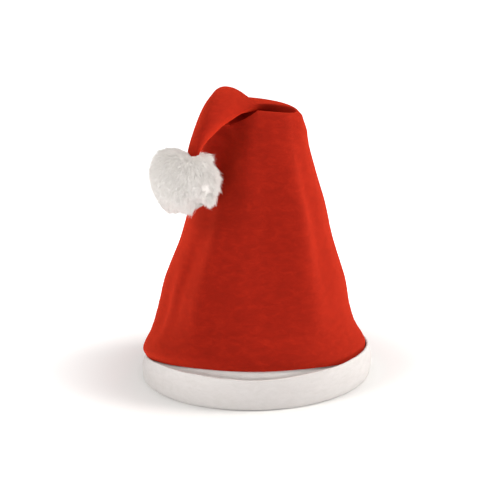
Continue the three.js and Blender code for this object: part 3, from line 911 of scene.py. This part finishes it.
@dataclass
class Pompom:
    """The white pompom: a soft core and fine threads that lie away from the tip and gather into locks."""

    finish: PileFinish
    centre: tuple[float, float, float] = (-57.6, -53.0, 179.0)
    half_depth: float = 25.5
    lean_back: float = 15.9  # degrees: the outline of PILE_ROWS is seen from this far above
    tip_direction: tuple[float, float, float] = (0.3, -0.1, 0.95)
    ragged_side: tuple[float, float, float] = (0.75, -0.2, -0.65)
    core_share: float = 0.93  # reach of the dense middle, in reaches of the pile
    core_inset: float = 0.6
    root_depth: float = 0.06  # how far inside it the threads start
    locks: int = 150
    pieces: int = 3
    threads_per_piece: int = 8000
    thread_mm: float = 0.3
    lock_mm: float = 1.1  # thickness where many threads cling together
    lock_share: float = 0.09  # how many of the threads stand for such a bundle
    tip_share: float = 0.4  # thickness left near a thread's end
    gather: tuple[float, float] = (0.3, 0.8)
    flow: tuple[float, float] = (0.18, 0.45)
    lock_spread: float = 2.4  # how unequal in length the locks are
    stray_share: float = 0.03
    stray_mm: tuple[float, float] = (0.4, 1.8)
    sway_mm: float = 0.35
    lift_mm: float = 0.5
    sides: int = 4
    segments: int = 3
    smoothing: int = 24  # degrees to each side that even the outline out
    tooth_sharpness: int = 7  # how fast the outline's teeth fade towards the eye
    seed: int = 11

    def directions(self, count: int) -> np.ndarray:
        """Spread directions evenly over a ball.

        Args:
            count: how many.

        Returns:
            A row of x, y and z for each.
        """
        k = np.arange(count)
        z = 1 - 2 * (k + 0.5) / count
        flat = np.sqrt(1 - z * z)
        turn = k * math.pi * (3 - math.sqrt(5))
        return np.stack([flat * np.cos(turn), flat * np.sin(turn), z], axis=-1)

    def reach(self, directions: np.ndarray) -> np.ndarray:
        """Say how far the pile reaches from the middle.

        Args:
            directions: rows of x, y and z of length one.

        Returns:
            Distances in millimetres.
        """
        lean = math.radians(self.lean_back)
        up = directions @ np.array([0.0, math.sin(lean), math.cos(lean)])
        across = directions[:, 0]
        angle = np.degrees(np.arctan2(across, up))
        rows = sorted(PILE_ROWS, key=lambda row: row.angle)
        angles = np.array([row.angle for row in rows])
        reaches = np.array([row.reach for row in rows])
        outline = np.interp(angle, angles, reaches, period=360)
        shifts = range(-self.smoothing, self.smoothing + 1, self.smoothing // 4)
        smooth = sum(np.interp(angle + shift, angles, reaches, period=360) for shift in shifts) / len(shifts)
        edge_on = np.clip(np.hypot(up, across), 0, 1)
        teeth = (outline - smooth) * edge_on ** self.tooth_sharpness
        return self.half_depth * (1 - edge_on ** 2) + smooth * edge_on ** 2 + teeth

    def thread(self) -> tuple[np.ndarray, list[tuple[int, ...]]]:
        """Model one thread as a slim tapered spike, one unit long.

        Returns:
            Its points and its faces.
        """
        deselect_all()
        bpy.ops.mesh.primitive_cone_add(vertices=self.sides, radius1=1, radius2=0, depth=1,
                                        location=(0, 0, 0.5))
        spike = bpy.context.object
        bpy.ops.object.transform_apply(location=True, rotation=True, scale=True)
        bpy.ops.object.mode_set(mode="EDIT")
        for step in range(1, self.segments):
            bpy.ops.mesh.select_all(action="SELECT")
            bpy.ops.mesh.bisect(plane_co=(0, 0, step / self.segments), plane_no=(0, 0, 1))
        bpy.ops.object.mode_set(mode="OBJECT")
        points = read_points(spike)
        faces = [tuple(face.vertices) for face in spike.data.polygons]
        bpy.data.objects.remove(spike)
        return points, faces

    def lay(self, roots: np.ndarray, chance: np.random.Generator) -> tuple[np.ndarray, np.ndarray]:
        """Work out where each thread points and how far it reaches.

        Args:
            roots: the direction of each thread's root from the middle.
            chance: the source of the threads' own unevenness.

        Returns:
            A direction of length one for each thread, and its reach in millimetres.
        """
        count = len(roots)
        scatter = np.random.default_rng(self.seed).normal(0, 0.05, (self.locks, 3))
        lock_axes = unit_rows(self.directions(self.locks) + scatter)
        lock_length = np.random.default_rng(self.seed + 50).normal(0, 1.0, self.locks)
        nearest = np.argmax(roots @ lock_axes.T, axis=1)
        ragged = np.clip(roots @ unit_rows(np.array([self.ragged_side]))[0] + 0.45, 0.12, 1)
        away = roots - np.array(self.tip_direction)
        away = unit_rows(away - roots * np.sum(away * roots, axis=1)[:, None])
        gather = (chance.uniform(*self.gather, count) * ragged)[:, None]
        flow = chance.uniform(*self.flow, count)[:, None]
        aims = unit_rows(roots * (1 - gather) + lock_axes[nearest] * gather + away * flow
                         + chance.normal(0, 0.03, (count, 3)))
        uneven = self.lock_spread * ragged * lock_length[nearest]
        length = self.reach(aims) + uneven + chance.normal(0.2, 0.8, count)
        stray = chance.uniform(size=count) < self.stray_share
        return aims, length + np.where(stray, chance.uniform(*self.stray_mm, count), 0)

    def pile(self, part: int) -> bpy.types.Object:
        """Grow one share of the threads.

        Args:
            part: which share, from 0.

        Returns:
            The share as one mesh.
        """
        shape, faces = self.thread()
        count = self.threads_per_piece
        chance = np.random.default_rng(self.seed + part)
        spread = self.directions(count * self.pieces)[part::self.pieces]
        roots = unit_rows(spread + chance.normal(0, 0.02, (count, 3)))
        aims, length = self.lay(roots, chance)
        start = roots * (self.reach(roots) * (self.core_share - self.root_depth))[:, None]
        tip = aims * length[:, None]
        sway = chance.normal(0, self.sway_mm, (count, 3)) + roots * self.lift_mm
        side = unit_rows(np.cross(aims, chance.normal(0, 1, (count, 3))))
        other = np.cross(aims, side)
        t = shape[:, 2]
        middle = start[:, None, :] * (1 - t)[None, :, None] + tip[:, None, :] * t[None, :, None]
        middle = middle + sway[:, None, :] * (t * (1 - t) * 4)[None, :, None]
        gathered = np.where(chance.uniform(size=count) < self.lock_share, self.lock_mm, self.thread_mm)
        taper = self.tip_share + (1 - self.tip_share) * np.sqrt(1 - t + 1e-6)
        thick = gathered[:, None] / 2 * taper[None, :]
        radial = np.hypot(shape[:, 0], shape[:, 1])
        around = shape[:, :2] / np.maximum(radial, 1e-6)[:, None]
        ring = np.where(radial[None, :] > 1e-6, thick, 0)[:, :, None]
        offset = side[:, None, :] * around[None, :, 0, None] + other[:, None, :] * around[None, :, 1, None]
        points = middle + offset * ring
        corners = [tuple(i + k * len(shape) for i in face) for k in range(count) for face in faces]
        mesh = bpy.data.meshes.new(f"pompom_pile_{part + 1}")
        mesh.from_pydata(((points + np.array(self.centre)).reshape(-1, 3) * MM).tolist(), [], corners)
        mesh.update()
        pile = bpy.data.objects.new(mesh.name, mesh)
        bpy.context.scene.collection.objects.link(pile)
        mesh.polygons.foreach_set("use_smooth", [True] * len(mesh.polygons))
        return pile

    def core(self) -> bpy.types.Object:
        """Model the dense middle of the pompom, where the threads stand too close to see between.

        Returns:
            The middle, without a material yet.
        """
        deselect_all()
        bpy.ops.mesh.primitive_ico_sphere_add(subdivisions=6, radius=1)
        ball = bpy.context.object
        ball.name = "pompom_core"
        ball.data.name = "pompom_core"
        directions = unit_rows(read_points(ball))
        distance = self.reach(directions) * self.core_share - self.core_inset
        distance += 0.5 * smooth_noise(directions * self.half_depth, 5.0, 2.2)
        distance += 0.35 * smooth_noise(directions * self.half_depth * np.array([1.6, 1.6, 0.7]), 2.2, 6.1)
        write_points(ball, (directions * distance[:, None] + np.array(self.centre)) * MM)
        ball.data.polygons.foreach_set("use_smooth", [True] * len(ball.data.polygons))
        return ball

    def build(self) -> list[bpy.types.Object]:
        """Build the core and its pile, and dress them.

        Returns:
            The core and the shares of the pile.
        """
        material = self.finish.make("white_pile")
        pieces = [self.core()] + [self.pile(part) for part in range(self.pieces)]
        for piece in pieces:
            piece.data.materials.append(material)
            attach(piece, "root")
        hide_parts("pompom")
        return pieces


@dataclass(frozen=True)
class Panel:
    """A soft light: its place and aim in metres, its size, its power in watts and its colour."""

    name: str
    place: tuple[float, float, float]
    size: tuple[float, float]
    power: float
    colour: str


@dataclass
class Studio:
    """A pale floor that glows more the further it lies from the hat, its dimmer glow near the hat a painted
    shade; soft panels; and the camera.
    """

    aim: tuple[float, float, float] = (0.0, 0.0, 0.12)
    camera_place: tuple[float, float, float] = (-0.005526, -1.5073, 0.5367)
    camera_pitch: float = 15.909
    lens: float = 135.504
    ambient: float = 0.14
    floor_size: float = 14.0
    painted_shade_reach: float = 0.1  # metres from the hat's middle within which the floor's glow is cut to its least, a painted shade round the hat
    painted_shade_end: float = 0.27
    painted_shade_glow: float = 0.08
    panels: tuple[Panel, ...] = (
        Panel("left_panel", (-0.85, -0.6, 0.85), (0.45, 0.5), 6.6, "fffaf4"),
        Panel("right_panel", (1.02, -0.05, 0.78), (0.6, 0.8), 10.8, "fffaf4"),
        Panel("top_panel", (0.0, 0.1, 1.4), (0.8, 0.7), 4.0, "ffffff"),
        Panel("front_panel", (0.2, -1.5, 1.1), (0.6, 0.6), 0.6, "ffffff"),
    )

    def floor(self) -> bpy.types.Object:
        """Lay a wide pale floor whose glow is cut near the hat, a painted shade around it.

        Returns:
            The floor.
        """
        deselect_all()
        bpy.ops.mesh.primitive_plane_add(size=self.floor_size, location=(0, 0, 0))
        bpy.ops.object.transform_apply(location=True, rotation=True, scale=True)
        floor = bpy.context.object
        floor.name = "floor"
        material, tree, place = new_material("pale_floor")
        away = add_node(tree, "ShaderNodeVectorMath", {"operation": "LENGTH"}, {0: place})
        # painted shade: the floor's own glow falls to its least near the hat and rises to full further out
        fade = {"From Min": self.painted_shade_reach, "From Max": self.painted_shade_end, "To Min": self.painted_shade_glow,
                "To Max": 1.0}
        glow = add_node(tree, "ShaderNodeMapRange", fade, {"Value": away.outputs["Value"]}).outputs["Result"]
        settings = {"Base Color": linear_colour("f4f4f4"), "Roughness": 0.9, "Specular IOR Level": 0.1,
                    "Emission Color": linear_colour("ffffff")}
        surface = add_node(tree, "ShaderNodeBsdfPrincipled", settings, {"Emission Strength": glow})
        add_node(tree, "ShaderNodeOutputMaterial", None, {"Surface": surface.outputs["BSDF"]})
        floor.data.materials.append(material)
        return floor

    def light(self, panel: Panel) -> bpy.types.Object:
        """Hang one soft panel and aim it at the hat.

        Args:
            panel: the panel's settings.

        Returns:
            The light.
        """
        data = bpy.data.lights.new(panel.name, "AREA")
        data.shape = "RECTANGLE"
        data.size, data.size_y = panel.size
        data.energy = panel.power
        data.color = linear_colour(panel.colour)[:3]
        lamp = bpy.data.objects.new(panel.name, data)
        lamp.location = panel.place
        lamp.rotation_euler = (Vector(self.aim) - Vector(panel.place)).to_track_quat("-Z", "Y").to_euler()
        bpy.context.scene.collection.objects.link(lamp)
        return lamp

    def camera(self) -> bpy.types.Object:
        """Set up the camera at the photograph's angle.

        Returns:
            The camera.
        """
        data = bpy.data.cameras.new("camera")
        data.lens = self.lens
        data.clip_end = 30
        camera = bpy.data.objects.new("camera", data)
        camera.location = self.camera_place
        camera.rotation_euler = (math.radians(90 - self.camera_pitch), 0, 0)
        bpy.context.scene.collection.objects.link(camera)
        bpy.context.scene.camera = camera
        return camera

    def build(self) -> None:
        """Set up the floor, the lights, the ambient light and the camera."""
        self.floor()
        for panel in self.panels:
            self.light(panel)
        self.camera()
        scene = bpy.context.scene
        scene.view_settings.view_transform = "Standard"
        world = bpy.data.worlds.new("studio")
        world.use_nodes = True
        world.node_tree.nodes["Background"].inputs["Color"].default_value = linear_colour("ffffff")
        world.node_tree.nodes["Background"].inputs["Strength"].default_value = self.ambient
        scene.world = world


def main() -> None:
    logging.basicConfig(level=logging.INFO, format="%(message)s")
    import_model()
    red = FeltFinish(FeltTone.RED, deep="791006", body="891308", high="a01d0d", glow="ff4526", sheen=1.0,
                     blotch_mm=9.0, fibre_mm=1.1, lift_mm=0.35)
    white = FeltFinish(FeltTone.WHITE, deep="e2dfdd", body="e8e5e4", high="edeae9", glow="ffffff", sheen=0.0,
                       blotch_mm=8.0, fibre_mm=0.9, lift_mm=0.12)
    pile = PileFinish(root="e3e0dd", tip="eeebe8", patch_mm=5.0, painted_glow=0.1)
    Studio().build()
    LOG.info("studio")
    for piece in (Crown(red).build(), Cuff(white).build(), *Pompom(pile).build()):
        LOG.info("%s: %d faces", piece.name, len(piece.data.polygons))


if __name__ == "__main__":
    main()
